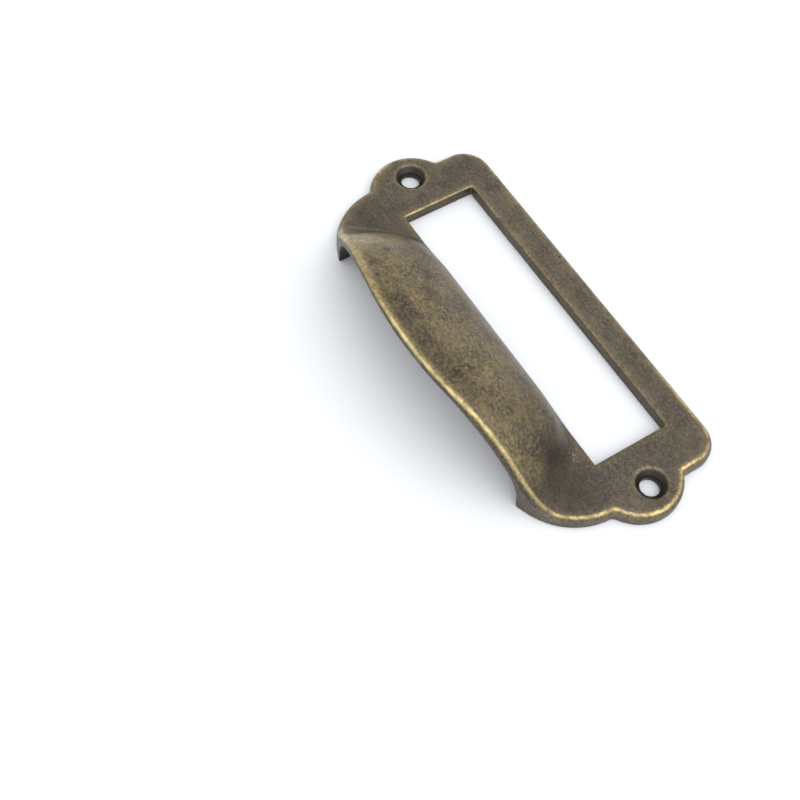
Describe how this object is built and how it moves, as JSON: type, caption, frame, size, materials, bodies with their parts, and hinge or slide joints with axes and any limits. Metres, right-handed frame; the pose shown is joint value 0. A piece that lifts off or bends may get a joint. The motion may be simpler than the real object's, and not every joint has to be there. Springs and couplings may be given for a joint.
{
  "type": "label frame pull",
  "caption": "Cast drawer pull: a flat frame with a card window, countersunk screw lobes at its ends and a hollow finger hood along its lower side.",
  "frame": {"origin": "midway between the two screw holes, on the flat back face that lies on the drawer front", "axes": "+X along the frame from one screw to the other, +Y from the finger hood towards the top rail, +Z out of the drawer"},
  "size_m": [0.0864, 0.0416, 0.0174],
  "materials": {
    "antique_brass": "antique brass plating with a mottled dark patina and bright worn edges, satin"
  },
  "bodies": {
    "root": {"label_pull": "antique_brass"}
  },
  "joints": []
}
